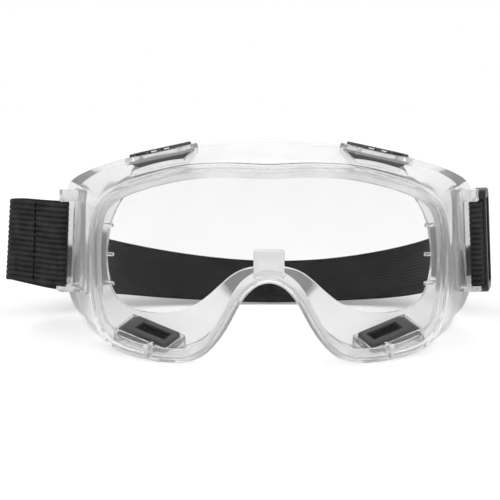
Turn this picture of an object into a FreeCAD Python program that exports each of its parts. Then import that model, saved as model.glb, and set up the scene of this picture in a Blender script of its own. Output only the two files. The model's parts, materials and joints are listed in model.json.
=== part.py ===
import FreeCAD, Part
import math
import os

import Sketcher

# Panoramic safety goggles with a ribbed elastic headband.
# Row frame in millimetres: +X to the wearer's left, +Y towards the wearer, +Z up.
# The origin is on the goggles' symmetry plane, level with the front of the lens and with the flat
# surface on which the rim stands.

Vec = FreeCAD.Vector
doc = FreeCAD.newDocument("SafetyGoggles")
sheet = doc.addObject("Spreadsheet::Sheet", "Sheet")

DRIVING = {
    "lens_radius": "92",
    "lens_thickness": "2.2",
    "face_radius": "125",
    "face_setback": "30",
    "wall_thickness": "1.8",
    "rim_lip": "3.2",
    "rim_edge": "1.3",
    "rim_proud": "1.6",
    "seat_width": "5.5",
    "fit_gap": "0.15",
    "strap_width": "38",
    "strap_thickness": "1.6",
    "strap_height": "45.9",
    "layer_gap": "2.6",
    "clip_bar": "2.4",
    "clip_length": "46.4",
    "clip_height": "47.3",
    "clip_width": "12",
    "clip_plate": "2",
    "clip_reach": "10.8",
    "clip_ear_low": "2.4",
    "clip_ear_high": "5.2",
    "clip_ear_width": "7",
    "slider_length": "20",
    "slider_height": "47",
    "slider_bar": "3.4",
    "slider_floor": "1.2",
    "slider_top": "4.4",
    "vent_length": "26",
    "vent_width": "12",
    "cap_height": "1.2",
    "tray_height": "3.2",
    "tray_wall": "1.5",
    "tray_slope": "4",
    "window_length": "21",
    "window_width": "7.6",
    "seat_thickness": "2",
    "boss_depth": "3.2",
    "stud_radius": "1.35",
    "stud_neck": "0.9",
}
for row_index, (alias, number) in enumerate(DRIVING.items(), start=1):
    sheet.set("A%d" % row_index, alias)
    sheet.set("B%d" % row_index, number)
    sheet.setAlias("B%d" % row_index, alias)
doc.recompute()


def size(alias):
    return float(sheet.get(alias))


LENS_R = size("lens_radius")
FACE_R = size("face_radius")
WALL = size("wall_thickness")
GAP = size("fit_gap")
RIM_ROUND = 0.6

# Outlines of the right half, seen from the front, from the top centre to the nose:
# rim outer edge (x, z), face-seal outer edge (x, z), face opening edge (x, z).
STATIONS = [
    ((0, 85.0), (0, 95.0), (0, 81.0)),
    ((12, 85.4), (14, 94.3), (12, 80.4)),
    ((24, 85.2), (28, 92.6), (24, 78.8)),
    ((36, 84.0), (41, 91.4), (35, 77.2)),
    ((48, 81.2), (54, 88.6), (46, 75.4)),
    ((59, 77.6), (66, 84.6), (55, 73.2)),
    ((68.5, 73.0), (79.5, 79.9), (62, 69.8)),
    ((75.5, 66.6), (90.3, 74.2), (66.5, 64.0)),
    ((79, 58), (94.6, 66.5), (70, 56.5)),
    ((80.2, 47), (95.0, 52), (71.8, 48)),
    ((80.4, 36), (95.2, 39), (72.6, 39)),
    ((80, 25), (95.8, 26), (71.6, 30)),
    ((78.3, 14.5), (91.0, 13.5), (69, 23.4)),
    ((74, 6.8), (83, 4.6), (64, 18.8)),
    ((66, 2.2), (71, 0.9), (57, 17.0)),
    ((54, 0.6), (57.5, 0.6), (49, 16.7)),
    ((41, 0.6), (44, 0.6), (42, 17.6)),
    ((30.5, 3.0), (33, 3.0), (34, 20.6)),
    ((22.5, 9.5), (24.5, 9.0), (27.5, 25.0)),
    ((16.5, 18.5), (18, 17.0), (21.5, 30.5)),
    ((12, 27), (13.5, 25), (16, 35.3)),
    ((7, 33.6), (8.0, 31.0), (9.5, 38.4)),
    ((0, 36.5), (0, 33.8), (0, 39.6)),
]
HALF = len(STATIONS) - 1
RING = 2 * HALF


def station(index):
    """Outline points at a whole station number, counted round the ring from the top centre."""
    index = index % RING
    if index <= HALF:
        return STATIONS[index]
    return tuple((-x, z) for x, z in STATIONS[RING - index])


def station_at(place):
    """Outline points at a fractional station number."""
    low = math.floor(place)
    part = place - low
    pairs = zip(station(low), station(low + 1))
    return tuple((a[0] + part * (b[0] - a[0]), a[1] + part * (b[1] - a[1])) for a, b in pairs)


def lens_point(x, z, lift):
    """Point at a height above the outer face of the lens cylinder."""
    angle = math.asin(x / LENS_R)
    radius = LENS_R + lift
    return Vec(radius * math.sin(angle), LENS_R - radius * math.cos(angle), z)


def face_point(x, z, lift):
    """Point in front of the cylinder that stands for the wearer's face."""
    angle = math.asin(x / FACE_R)
    radius = FACE_R + lift
    axis = size("face_setback") + FACE_R
    return Vec(radius * math.sin(angle), axis - radius * math.cos(angle), z)


def rim_inward(index):
    """Unit direction in the front view that points from the rim into the lens."""
    before = station(index - 1)[0]
    after = station(index + 1)[0]
    along = (after[0] - before[0], after[1] - before[1])
    length = math.hypot(*along)
    return (along[1] / length, -along[0] / length)


def rim_point(index, inset, lift):
    """Point a given distance in from the rim's outer edge, measured along the lens."""
    x, z = station(index)[0]
    inward = rim_inward(index)
    foreshortening = math.cos(math.asin(x / LENS_R))
    return lens_point(x + inward[0] * inset * foreshortening, z + inward[1] * inset, lift)


def frame_section(index):
    """Cross-section of the moulded frame: rim, lens groove, seat, side wall and face flange."""
    face_x, face_z = station(index)[1]
    open_x, open_z = station(index)[2]
    front = rim_point(index, 0, size("rim_proud") - RIM_ROUND)
    corner = face_point(face_x, face_z, 0)
    to_front = (front - corner).normalize()
    to_opening = face_point(open_x, open_z, 0) - corner
    half_angle = to_front.getAngle(to_opening) / 2
    step = WALL / math.tan(half_angle) / to_opening.Length
    inner_x = face_x + (open_x - face_x) * step
    inner_z = face_z + (open_z - face_z) * step
    lip = size("rim_lip")
    edge = size("rim_edge")
    seat = size("seat_width")
    back = -size("lens_thickness") - GAP
    corners = [
        rim_point(index, 0.5, size("rim_proud")),
        rim_point(index, lip - 0.4, size("rim_proud")),
        rim_point(index, lip, GAP),
        rim_point(index, edge, GAP),
        rim_point(index, edge, back),
        rim_point(index, seat, back),
        rim_point(index, seat, back - WALL),
        rim_point(index, WALL, back - WALL - 0.6),
        face_point(inner_x, inner_z, WALL),
        face_point(open_x, open_z, WALL * 0.8),
        face_point(open_x, open_z, 0),
        corner,
        front,
    ]
    return corners


def smooth_ring(points):
    """Right and left halves of a closed smooth curve through one point for each station."""
    curve = Part.BSplineCurve()
    places = [float(i) for i in range(RING + 1)]
    curve.interpolate(Points=points, PeriodicFlag=True, Parameters=places)
    halves = []
    for start, end in ((0, HALF), (HALF, RING)):
        half = curve.copy()
        half.segment(start, end)
        halves.append(half)
    return halves


def moulded_ring():
    """Closed ring whose cross-section at each station is frame_section."""
    sections = [frame_section(i) for i in range(RING)]
    corners = len(sections[0])
    rails = [smooth_ring([section[c] for section in sections]) for c in range(corners)]
    faces = []
    for c in range(corners):
        for side in (0, 1):
            strip = rails[c][side].makeRuledSurface(rails[(c + 1) % corners][side])
            faces.append(strip.toShape())
    shell = Part.makeShell(faces)
    shell.sewShape()
    solid = Part.Solid(shell)
    if solid.Volume < 0:
        solid.reverse()
    return solid


def wall_middle(place):
    rim, face, opening = station_at(place)
    return (lens_point(rim[0], rim[1], 0) + face_point(face[0], face[1], 0)) * 0.5


def wall_axes(place):
    """Local axes on the outside of the wall: origin, along, to the face, outward."""
    rim, face, opening = station_at(place)
    front = lens_point(rim[0], rim[1], size("rim_proud") - RIM_ROUND)
    back = face_point(face[0], face[1], 0)
    ahead = wall_middle(place + 0.5)
    behind = wall_middle(place - 0.5)
    tangent = (ahead - behind).normalize()
    outward = (back - front).cross(tangent).normalize()
    centre = (front + back) * 0.5
    if outward.dot(centre - Vec(0, centre.y, 45)) < 0:
        outward = outward * -1
    to_face = outward.cross(tangent)
    if to_face.dot(back - front) < 0:
        to_face = to_face * -1
    along = to_face.cross(outward)
    return centre, along, to_face, outward


def wall_placement(place, lift=0.0, shift=0.0, tilt=0.0, roll=0.0):
    """Local axes on the wall: X along it, Y towards the face, Z outward.

    Tilt turns the face side inward and roll turns the outer end inward.
    """
    centre, along, to_face, outward = wall_axes(place)
    outer_end = math.copysign(1, along.x * centre.x)
    rotation = FreeCAD.Rotation(along, to_face, outward, "ZXY")
    rotation = rotation * FreeCAD.Rotation(Vec(0, 1, 0), roll * outer_end)
    rotation = rotation * FreeCAD.Rotation(Vec(1, 0, 0), -tilt)
    return FreeCAD.Placement(centre + outward * lift + to_face * shift, rotation)


def local_box(length, width, low, high, placement):
    """Box centred on the local X and Y axes between two local heights."""
    box = Part.makeBox(length, width, high - low, Vec(-length / 2, -width / 2, low))
    box.Placement = placement
    return box


# Vents: station on the wall, height of the seat above it, shift towards the face, tilt and roll in
# degrees, and how far the boss reaches out past the seat.
TOP_VENT = (3.65, 2.6, 3.5, 20, 0, 0)
BOTTOM_VENT = (15.1, -6.1, 3.5, 22, 12.5, 7)
VENTS = {
    "top_right": TOP_VENT,
    "top_left": (RING - TOP_VENT[0],) + TOP_VENT[1:],
    "bottom_right": BOTTOM_VENT,
    "bottom_left": (RING - BOTTOM_VENT[0],) + BOTTOM_VENT[1:],
}
CLIP_SHIFT = -6.0
CLIP_LEAN = 3.2
CLIPS = {"right": 9.25, "left": RING - 9.25}
SEAT = size("seat_thickness")
BOSS_WALL = 1.5
PLAY = 0.3
CUT_OUT = 9
CUT_IN = 10
TABLE = 300


def vent_placement(vent, extra_lift=0.0):
    place, lift, shift, tilt, roll, reach = vent
    seat = wall_placement(place, lift, shift, tilt, roll)
    return seat * FreeCAD.Placement(Vec(0, 0, extra_lift), FreeCAD.Rotation())


def clip_placement(place):
    """Local axes on the side wall: Y towards the face, Z outward, leaning out at the lower end."""
    centre, along, to_face, outward = wall_axes(place)
    back = Vec(to_face.x, to_face.y, 0).normalize()
    out = Vec(back.y, -back.x, 0)
    if out.dot(outward) < 0:
        out = out * -1
    base = Vec(centre.x, centre.y, size("clip_height")) + back * CLIP_SHIFT
    lean = math.copysign(CLIP_LEAN, -centre.x)
    upright = FreeCAD.Rotation(back.cross(out), back, out, "ZXY")
    return FreeCAD.Placement(base, FreeCAD.Rotation(back, lean) * upright)


def outer_end_sign(vent):
    """+1 where the vent's local X points away from the nose."""
    centre, along, _, _ = wall_axes(vent[0])
    return math.copysign(1, along.x * centre.x)


# Small teeth on the edge of the face opening: heights above the table, place and size.
TEETH = (54.7, 41.5, 28.3)
TOOTH_X = 70.6
TOOTH = (5, 1.2, 1.6)
NOSE_TAB = (13, 3.2, 12.5)
NOSE_TAB_CORNER = Vec(-6.5, 2.8, 37.5)
NOSE_TAB_ROUND = 1.4
# Lens studs: place, depth through the lens, and the heights of the neck and of the head's middle.
STUD_X = 51.3
STUD_Z = 4.6
STUD_LENGTH = 4.4
STUD_BACK = -2.8
NECK_LOW = -3
NECK_HEIGHT = 4.4
HEAD_HEIGHT = 2


def behind_lens():
    """Room behind the lens, as a cylinder about the lens's own axis."""
    radius = LENS_R - size("lens_thickness") - GAP
    return Part.makeCylinder(radius, TABLE, Vec(0, LENS_R, -TABLE / 2))


def vent_boss(vent):
    """Thick part of the wall round a vent, kept above the table and behind the lens."""
    reach = vent[5]
    length = size("vent_length") + 2 * BOSS_WALL
    width = size("vent_width") + 2 * BOSS_WALL
    block = local_box(length, width, -size("boss_depth"), reach, vent_placement(vent))
    below_table = Part.makeBox(TABLE, TABLE, TABLE, Vec(-TABLE / 2, -TABLE / 2, PLAY - TABLE))
    return block.cut(below_table).common(behind_lens())


def cut_vent(solid, vent):
    """Cuts the pocket for the cap, the window in the seat and the space for the tray."""
    seat = vent_placement(vent)
    length = size("vent_length") + 2 * PLAY
    cap_width = size("vent_width") + 2 * PLAY
    tray_width = size("window_width") + 2 * size("tray_wall") + 2 * PLAY
    pocket_for_cap = local_box(length, cap_width, 0, CUT_OUT, seat)
    window = local_box(size("window_length"), size("window_width"), -CUT_IN, CUT_OUT, seat)
    tray_space = local_box(length, tray_width, -CUT_IN, -SEAT, seat)
    return solid.cut(pocket_for_cap).cut(window).cut(tray_space)


def nose_tab():
    tab = Part.makeBox(*NOSE_TAB, NOSE_TAB_CORNER)
    top = NOSE_TAB_CORNER.z + NOSE_TAB[2]
    return tab.makeFillet(NOSE_TAB_ROUND, [e for e in tab.Edges if abs(e.BoundBox.ZMin - top) < 0.1])


def lens_stud(side):
    """Mushroom peg that comes through a keyhole in the lens."""
    neck_width = 2 * size("stud_neck")
    neck = Part.makeBox(neck_width, STUD_LENGTH, NECK_HEIGHT, Vec(-neck_width / 2, STUD_BACK, NECK_LOW))
    head = Part.makeCylinder(size("stud_radius"), STUD_LENGTH, Vec(0, STUD_BACK, HEAD_HEIGHT), Vec(0, 1, 0))
    stud = neck.fuse(head)
    stud.Placement = stud_placement(side)
    return stud


def edge_tooth(side, height):
    """Small tooth on the edge of the face opening."""
    length, depth, high = TOOTH
    tooth = Part.makeBox(length, depth, high, Vec(side * 0.5 - length / 2, -depth, -high / 2))
    turn = math.degrees(math.asin(TOOTH_X * side / FACE_R))
    edge = face_point(TOOTH_X * side, height, WALL * 0.5)
    tooth.Placement = FreeCAD.Placement(edge, FreeCAD.Rotation(Vec(0, 0, 1), turn))
    return tooth


def clip_seat(place, margin, low, high):
    length = size("clip_length") + 2 * margin
    width = size("clip_width") + 2 * margin
    return local_box(length, width, low, high, clip_placement(place))


def make_frame():
    additions = [vent_boss(vent) for vent in VENTS.values()]
    additions += [clip_seat(place, 1, -3, 0) for place in CLIPS.values()]
    additions.append(nose_tab())
    for side in (-1, 1):
        additions.append(lens_stud(side))
        additions += [edge_tooth(side, height) for height in TEETH]
    solid = moulded_ring().multiFuse(additions)
    for vent in VENTS.values():
        solid = cut_vent(solid, vent)
    for place in CLIPS.values():
        solid = solid.cut(clip_seat(place, PLAY, 0, CUT_OUT))
    return solid


def stud_placement(side):
    """Local axes at a lens stud: X along the lens edge, Y into the lens, Z up."""
    x = STUD_X * side
    root = lens_point(x, STUD_Z, 0)
    angle = math.degrees(math.asin(x / LENS_R))
    return FreeCAD.Placement(root, FreeCAD.Rotation(Vec(0, 0, 1), angle))


def add_feature(name, shape, placement=None):
    feature = doc.addObject("Part::Feature", name)
    feature.Label = name
    feature.Shape = shape
    if placement is not None:
        feature.Placement = placement
    return feature


nodes = [add_feature("frame", make_frame())]


# Lens: a block whose sides point at the lens cylinder's axis, cut to a cylindrical shell, with a
# keyhole for each stud.
BLOCK_FRONT = 100
BLOCK_BACK = 36
CYLINDER_LOW = -20
CYLINDER_HEIGHT = 140
KEYHOLE_DEPTH = 12
KEYHOLE_LOW = -7
KEYHOLE_HEIGHT = 9


def lens_outline(name, distance):
    """Lens outline thrown from the cylinder's axis onto a plane at a distance in front of the axis."""
    points = []
    for i in range(RING):
        edge = rim_point(i, size("rim_edge") + GAP, 0)
        points.append(Vec(edge.x * distance / (LENS_R - edge.y), LENS_R - distance, edge.z))
    curve = Part.BSplineCurve()
    curve.interpolate(Points=points, PeriodicFlag=True, Parameters=[float(i) for i in range(RING + 1)])
    return add_feature(name, Part.Wire(curve.toShape()))


def make_lens():
    block = doc.addObject("Part::Loft", "lens_block")
    front = lens_outline("lens_outline_front", BLOCK_FRONT)
    block.Sections = [front, lens_outline("lens_outline_back", BLOCK_BACK)]
    block.Solid = True
    block.Ruled = True
    shells = []
    inside = "lens_radius - Sheet.lens_thickness"
    for name, radius in (("lens_outside", "lens_radius"), ("lens_inside", inside)):
        cylinder = doc.addObject("Part::Cylinder", name)
        cylinder.setExpression("Radius", "Sheet." + radius)
        cylinder.Height = CYLINDER_HEIGHT
        cylinder.Placement.Base = Vec(0, LENS_R, CYLINDER_LOW)
        shells.append(cylinder)
    shell = doc.addObject("Part::Cut", "lens_shell")
    shell.Base, shell.Tool = shells
    sheet_part = doc.addObject("Part::Common", "lens_sheet")
    sheet_part.Base = block
    sheet_part.Tool = shell
    keyholes = []
    half_slot = size("stud_neck") + GAP
    through = -KEYHOLE_DEPTH / 2
    for side in (-1, 1):
        slot_corner = Vec(-half_slot, through, KEYHOLE_LOW)
        slot = Part.makeBox(2 * half_slot, KEYHOLE_DEPTH, KEYHOLE_HEIGHT, slot_corner)
        middle = Vec(0, through, HEAD_HEIGHT)
        eye = Part.makeCylinder(size("stud_radius") + GAP, KEYHOLE_DEPTH, middle, Vec(0, 1, 0))
        keyhole = slot.fuse(eye)
        keyhole.Placement = stud_placement(side)
        keyholes.append(keyhole)
    notch = doc.addObject("Part::Feature", "lens_keyholes")
    notch.Shape = keyholes[0].fuse(keyholes[1])
    lens = doc.addObject("Part::Cut", "lens")
    lens.Label = "lens"
    lens.Base = sheet_part
    lens.Tool = notch
    return lens


nodes.append(make_lens())


# PartDesign helpers.
def origin_plane(body, role):
    return next(f for f in body.Origin.OriginFeatures if f.Role == role)


def sketch_on(body, role, name, offset=0.0):
    sketch = body.newObject("Sketcher::SketchObject", name)
    sketch.AttachmentSupport = [(origin_plane(body, role), "")]
    sketch.MapMode = "FlatFace"
    sketch.AttachmentOffset = FreeCAD.Placement(Vec(0, 0, offset), FreeCAD.Rotation())
    return sketch


def add_lines(sketch, points):
    """Closed outline of straight lines, each joined to the next."""
    first = sketch.GeometryCount
    count = len(points)
    for i, point in enumerate(points):
        following = points[(i + 1) % count]
        sketch.addGeometry(Part.LineSegment(Vec(*point, 0), Vec(*following, 0)), False)
    for i in range(count):
        sketch.addConstraint(Sketcher.Constraint("Coincident", first + i, 2, first + (i + 1) % count, 1))
    return first


def add_rectangle(sketch, width, height):
    """Rectangle centred on the sketch's origin, with both sizes bound to the sheet."""
    half_w = 0.5 * size(width)
    half_h = 0.5 * size(height)
    corners = [(-half_w, -half_h), (half_w, -half_h), (half_w, half_h), (-half_w, half_h)]
    first = add_lines(sketch, corners)
    for edge, kind in ((0, "Horizontal"), (1, "Vertical"), (2, "Horizontal"), (3, "Vertical")):
        sketch.addConstraint(Sketcher.Constraint(kind, first + edge))
    sketch.addConstraint(Sketcher.Constraint("Symmetric", first, 1, first + 1, 2, -1, 1))
    for name, kind, edge, alias in (
        ("wide", "DistanceX", first, width),
        ("high", "DistanceY", first + 1, height),
    ):
        number = sketch.addConstraint(Sketcher.Constraint(kind, edge, 1, edge, 2, size(alias)))
        sketch.renameConstraint(number, name)
        sketch.setExpression("Constraints." + name, "Sheet." + alias)


def new_body(name):
    body = doc.addObject("PartDesign::Body", name)
    body.Label = name
    return body


def pad(body, sketch, name, length, midplane=False, reverse=False):
    feature = body.newObject("PartDesign::Pad", name)
    feature.Profile = sketch
    feature.Midplane = midplane
    feature.Reversed = reverse
    feature.setExpression("Length", length)
    body.Tip = feature
    return feature


def pocket(body, sketch, name, length, midplane=False, reverse=False):
    doc.recompute()
    before = body.Shape.Volume
    feature = body.newObject("PartDesign::Pocket", name)
    feature.Profile = sketch
    feature.Midplane = midplane
    feature.Reversed = reverse
    feature.setExpression("Length", length)
    body.Tip = feature
    doc.recompute()
    if body.Shape.Volume > before - 0.01:
        raise RuntimeError("%s cuts nothing" % name)
    return feature


def fillet_edges(body, base, name, radius, chosen):
    doc.recompute()
    edges = ["Edge%d" % (i + 1) for i, e in enumerate(base.Shape.Edges) if chosen(e)]
    feature = body.newObject("PartDesign::Fillet", name)
    feature.Base = (base, edges)
    feature.Radius = radius
    body.Tip = feature
    return feature


def is_upright(edge):
    """True for a straight edge along the body's Z axis."""
    box = edge.BoundBox
    return box.XLength < 0.01 and box.YLength < 0.01


def lies_on_top(height):
    """Test for edges that lie wholly at a height or above it."""
    return lambda edge: edge.BoundBox.ZMin > height - 0.01


CAP_CORNER = 2
CAP_CROWN = 0.6
LOUVRE_PITCH = 6.5
LOUVRE_HALF = 2.4
LOUVRE_LOW = 0.1
LOUVRE_HIGH = 0.7
TRAY_LIP = 1.0
TRAY_LEDGE = 1.1
FOAM_PLAY = 0.1


def make_cap(corner, vent):
    """Outer hood of a vent, with louvres through both long sides."""
    cap = new_body("vent_cap_" + corner)
    outline = sketch_on(cap, "XY_Plane", "cap_outline_" + corner)
    add_rectangle(outline, "vent_length", "vent_width")
    block = pad(cap, outline, "cap_block_" + corner, "Sheet.cap_height")
    rounded = fillet_edges(cap, block, "cap_corners_" + corner, CAP_CORNER, is_upright)
    fillet_edges(cap, rounded, "cap_crown_" + corner, CAP_CROWN, lies_on_top(size("cap_height")))
    under = sketch_on(cap, "XY_Plane", "cap_under_" + corner)
    add_rectangle(under, "window_length", "window_width")
    pocket(cap, under, "cap_hollow_" + corner, "Sheet.cap_height / 2", reverse=True)
    slots = sketch_on(cap, "XZ_Plane", "cap_slots_" + corner)
    for middle in (-LOUVRE_PITCH, 0, LOUVRE_PITCH):
        left = middle - LOUVRE_HALF
        right = middle + LOUVRE_HALF
        low_edge = [(left, LOUVRE_LOW), (right, LOUVRE_LOW)]
        add_lines(slots, low_edge + [(right, LOUVRE_HIGH), (left, LOUVRE_HIGH)])
    pocket(cap, slots, "cap_louvres_" + corner, "Sheet.vent_width * 2", midplane=True)
    cap.Placement = vent_placement(vent)
    return cap


def insert_outline(outer_end, inset, half_width):
    """Outline of the hollow in a tray, shorter at its sloping outer end."""
    reach = size("window_length") / 2
    inner = -(reach + TRAY_LIP - inset) * outer_end
    outer = (reach - size("tray_slope") - inset) * outer_end
    return [(inner, -half_width), (outer, -half_width), (outer, half_width), (inner, half_width)]


def make_tray(corner, vent):
    """Inner tray of a vent, open to the filter on both faces."""
    outer_end = outer_end_sign(vent)
    tray = new_body("vent_tray_" + corner)
    side = sketch_on(tray, "XZ_Plane", "tray_side_" + corner)
    half = size("vent_length") / 2
    depth = size("tray_height")
    profile = [(-half, 0), (half, 0), (half, -TRAY_LIP), (half - size("tray_slope"), -depth), (-half, -depth)]
    add_lines(side, [(x * outer_end, z) for x, z in profile])
    pad(tray, side, "tray_block_" + corner, "Sheet.window_width + 2 * Sheet.tray_wall", midplane=True)
    across = size("window_width") / 2
    well = sketch_on(tray, "XY_Plane", "tray_well_" + corner)
    add_lines(well, insert_outline(outer_end, 0, across))
    pocket(tray, well, "tray_hollow_" + corner, "Sheet.tray_height - Sheet.tray_wall")
    window = sketch_on(tray, "XY_Plane", "tray_window_" + corner)
    add_lines(window, insert_outline(outer_end, TRAY_LEDGE, across - TRAY_LEDGE))
    pocket(tray, window, "tray_opening_" + corner, "Sheet.tray_height * 2")
    tray.Placement = vent_placement(vent, -SEAT)
    return tray


def make_foam(corner, vent):
    """Filter insert that lies in the tray's hollow."""
    foam = new_body("vent_foam_" + corner)
    cushion = sketch_on(foam, "XY_Plane", "foam_outline_" + corner)
    half_width = size("window_width") / 2 - FOAM_PLAY
    add_lines(cushion, insert_outline(outer_end_sign(vent), FOAM_PLAY, half_width))
    depth = "Sheet.tray_height - Sheet.tray_wall - %s" % (2 * FOAM_PLAY)
    pad(foam, cushion, "foam_block_" + corner, depth, reverse=True)
    foam.Placement = vent_placement(vent, -SEAT - FOAM_PLAY)
    return foam


for corner_name, vent_seat in VENTS.items():
    nodes += [make(corner_name, vent_seat) for make in (make_cap, make_tray, make_foam)]


# Strap brackets: a plate on the side wall, two ears and the bar that the strap loops round.
CLIP_REACH = size("clip_reach")
BAR_HEIGHT = CLIP_REACH - size("clip_bar") / 2
CLIP_FORWARD = -1.5
CLIP_CORNER = 2
EAR_ROOT = 1
EAR_FOOT = 2
EAR_TIP = 2
EAR_BEVEL = 1.5
EAR_INSET = 0.2


def ear_outline():
    """Side view of an ear: wide at the plate, with a sloping back and a blunt front."""
    half = size("clip_ear_width") / 2
    return [
        (CLIP_FORWARD - half, EAR_ROOT),
        (CLIP_FORWARD + half + EAR_FOOT, EAR_ROOT),
        (CLIP_FORWARD + EAR_TIP, CLIP_REACH),
        (CLIP_FORWARD - EAR_TIP, CLIP_REACH),
        (CLIP_FORWARD - half, CLIP_REACH - EAR_BEVEL),
    ]


def make_bracket(side, place):
    bracket = new_body("strap_bracket_" + side)
    outline = sketch_on(bracket, "XY_Plane", "bracket_plate_" + side)
    add_rectangle(outline, "clip_length", "clip_width")
    block = pad(bracket, outline, "bracket_base_" + side, "Sheet.clip_plate")
    fillet_edges(bracket, block, "bracket_corners_" + side, CLIP_CORNER, is_upright)
    upper_end = -1 if side == "right" else 1
    for end in (-1, 1):
        name = "%s_%s" % (side, "high" if end == upper_end else "low")
        ear_face = (size("clip_length") / 2 - EAR_INSET) * end
        ear = sketch_on(bracket, "YZ_Plane", "bracket_ear_" + name, ear_face)
        add_lines(ear, ear_outline())
        thickness = "Sheet.clip_ear_high" if end == upper_end else "Sheet.clip_ear_low"
        pad(bracket, ear, "bracket_lug_" + name, thickness, reverse=end > 0)
    rod = sketch_on(bracket, "YZ_Plane", "bracket_rod_" + side)
    circle = Part.Circle(Vec(CLIP_FORWARD, BAR_HEIGHT, 0), Vec(0, 0, 1), size("clip_bar") / 2)
    ring = rod.addGeometry(circle, False)
    diameter = rod.addConstraint(Sketcher.Constraint("Diameter", ring, size("clip_bar")))
    rod.renameConstraint(diameter, "thick")
    rod.setExpression("Constraints.thick", "Sheet.clip_bar")
    pad(bracket, rod, "bracket_bar_" + side, "Sheet.clip_length - Sheet.clip_ear_low", midplane=True)
    bracket.Placement = clip_placement(place)
    return bracket


brackets = {side: make_bracket(side, place) for side, place in CLIPS.items()}
nodes.extend(brackets.values())


# Headband: one ribbon from its sewn end, round the bar, behind the head, round the other bar and
# back through the slider. Each stop is (x, y, height of the middle, lean in degrees).
STRAP_T = size("strap_thickness")
STRAP_Z = size("strap_height")
BEND_R = size("layer_gap") / 2 + STRAP_T / 2
BEND_STEPS = 6
BAND_STOPS = [
    (-121.0, 73, 45.3, -4),
    (-123.0, 84, 43.8, -5),
    (-123.8, 97, 41.0, -2),
    (-121.5, 112, 36.8, 6),
    (-114.5, 127.5, 31.2, 19),
    (-101.5, 141.5, 25.8, 34),
    (-84, 153, 20.8, 47),
    (-58, 162, 15.4, 56),
    (-29, 167, 11.6, 62),
    (0, 168.5, 9.9, 64),
    (30, 167.5, 11.0, 63),
    (58, 161.5, 14.8, 56),
    (79, 151, 20.4, 45),
    (93, 137, 27.6, 31),
    (101, 121, 35.0, 15),
    (104.4, 105, 41.4, 1),
]


class StrapEnd:
    """Axes of the ribbon at a bracket: along it, across it and outward, from the middle of the bar."""

    def __init__(self, side, angle):
        clip = clip_placement(CLIPS[side])
        bar = clip.multVec(Vec(0, CLIP_FORWARD, BAR_HEIGHT))
        across = clip.Rotation.multVec(Vec(1, 0, 0))
        self.up = across if across.z > 0 else across * -1
        turn = math.radians(angle)
        self.way = Vec(math.sin(turn), math.cos(turn), 0)
        outside = self.way.cross(self.up).normalize()
        self.out = outside if side == "right" else outside * -1
        self.middle = bar - self.up * (size("clip_height") - STRAP_Z)

    def stop(self, distance, offset):
        """Point and across direction of the ribbon beside the bar."""
        return self.middle + self.way * distance + self.out * offset, self.up

    def bend(self):
        """Half turn round the front of the bar, from the outer layer to the inner one."""
        stops = []
        for step in range(1, BEND_STEPS):
            angle = math.pi * step / BEND_STEPS
            stops.append(self.stop(-BEND_R * math.sin(angle), BEND_R * math.cos(angle)))
        return stops


RIGHT_END = StrapEnd("right", 13.5)
LEFT_END = StrapEnd("left", -55.6)
RUN_LENGTH = 40.0
TAIL_LENGTH = 25.0
SEAM = 15.0
SEWN_OFFSET = 1.03


def free_stop(before, here, after):
    """Point and across direction of the ribbon; a positive lean tips its top edge outward."""
    x, y, z, lean = here
    way = Vec(after[0] - before[0], after[1] - before[1], 0).normalize()
    outward = Vec(-way.y, way.x, 0)
    tilt = math.radians(lean)
    return Vec(x, y, z), Vec(0, 0, math.cos(tilt)) + outward * math.sin(tilt)


def strap_route():
    near = [(0, BEND_R), (6, 1.9), (SEAM - 3, SEWN_OFFSET)]
    sewn_tail = [LEFT_END.stop(TAIL_LENGTH, SEWN_OFFSET)]
    sewn_tail += [LEFT_END.stop(distance, offset) for distance, offset in reversed(near)]
    band_start = [LEFT_END.stop(distance, -offset) for distance, offset in near]
    band_start.append(LEFT_END.stop(TAIL_LENGTH + 1, -SEWN_OFFSET))
    ends = [tuple(band_start[-1][0])] + BAND_STOPS + [tuple(RIGHT_END.stop(RUN_LENGTH, BEND_R)[0])]
    band = [free_stop(*ends[i - 1:i + 2]) for i in range(1, len(ends) - 1)]
    run = [RIGHT_END.stop(distance, BEND_R) for distance in (RUN_LENGTH, RUN_LENGTH / 2, 0)]
    tail = [RIGHT_END.stop(distance, -BEND_R) for distance in (0, RUN_LENGTH / 2, RUN_LENGTH - 3)]
    return sewn_tail + LEFT_END.bend() + band_start + band + run + RIGHT_END.bend() + tail


def strap_sections(route):
    """Rectangles across the ribbon at each stop."""
    sections = []
    for i, (middle, up) in enumerate(route):
        before = route[max(i - 1, 0)][0]
        after = route[min(i + 1, len(route) - 1)][0]
        way = Vec(after.x - before.x, after.y - before.y, 0).normalize()
        half_up = up * (size("strap_width") / 2)
        half_out = way.cross(up).normalize() * (STRAP_T / 2)
        corners = [
            middle - half_up - half_out,
            middle - half_up + half_out,
            middle + half_up + half_out,
            middle + half_up - half_out,
        ]
        sections.append(Part.makePolygon(corners + corners[:1]))
    return sections


nodes.append(add_feature("headband", Part.makeLoft(strap_sections(strap_route()), True, True)))


# Seams: the stitches of the fixed loop and the hem of the free tail.
STITCH = (0.6, 0.3, 2.2)
STITCH_PITCH = 3.0
STITCH_COUNT = 12
HEM = 6


def stitch_row(name, end, distance, offset):
    """Row of short stitches across the ribbon."""
    long, thick, high = STITCH
    turn = FreeCAD.Rotation(end.way, end.out, end.up, "XZY")
    stitches = []
    for i in range(STITCH_COUNT):
        stitch = Part.makeBox(long, thick, high, Vec(-long / 2, -thick / 2, -high / 2))
        point, up = end.stop(distance, offset)
        climb = up * ((i - (STITCH_COUNT - 1) / 2) * STITCH_PITCH)
        stitch.Placement = FreeCAD.Placement(point + climb, turn)
        stitches.append(stitch)
    return add_feature(name, Part.makeCompound(stitches))


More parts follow.
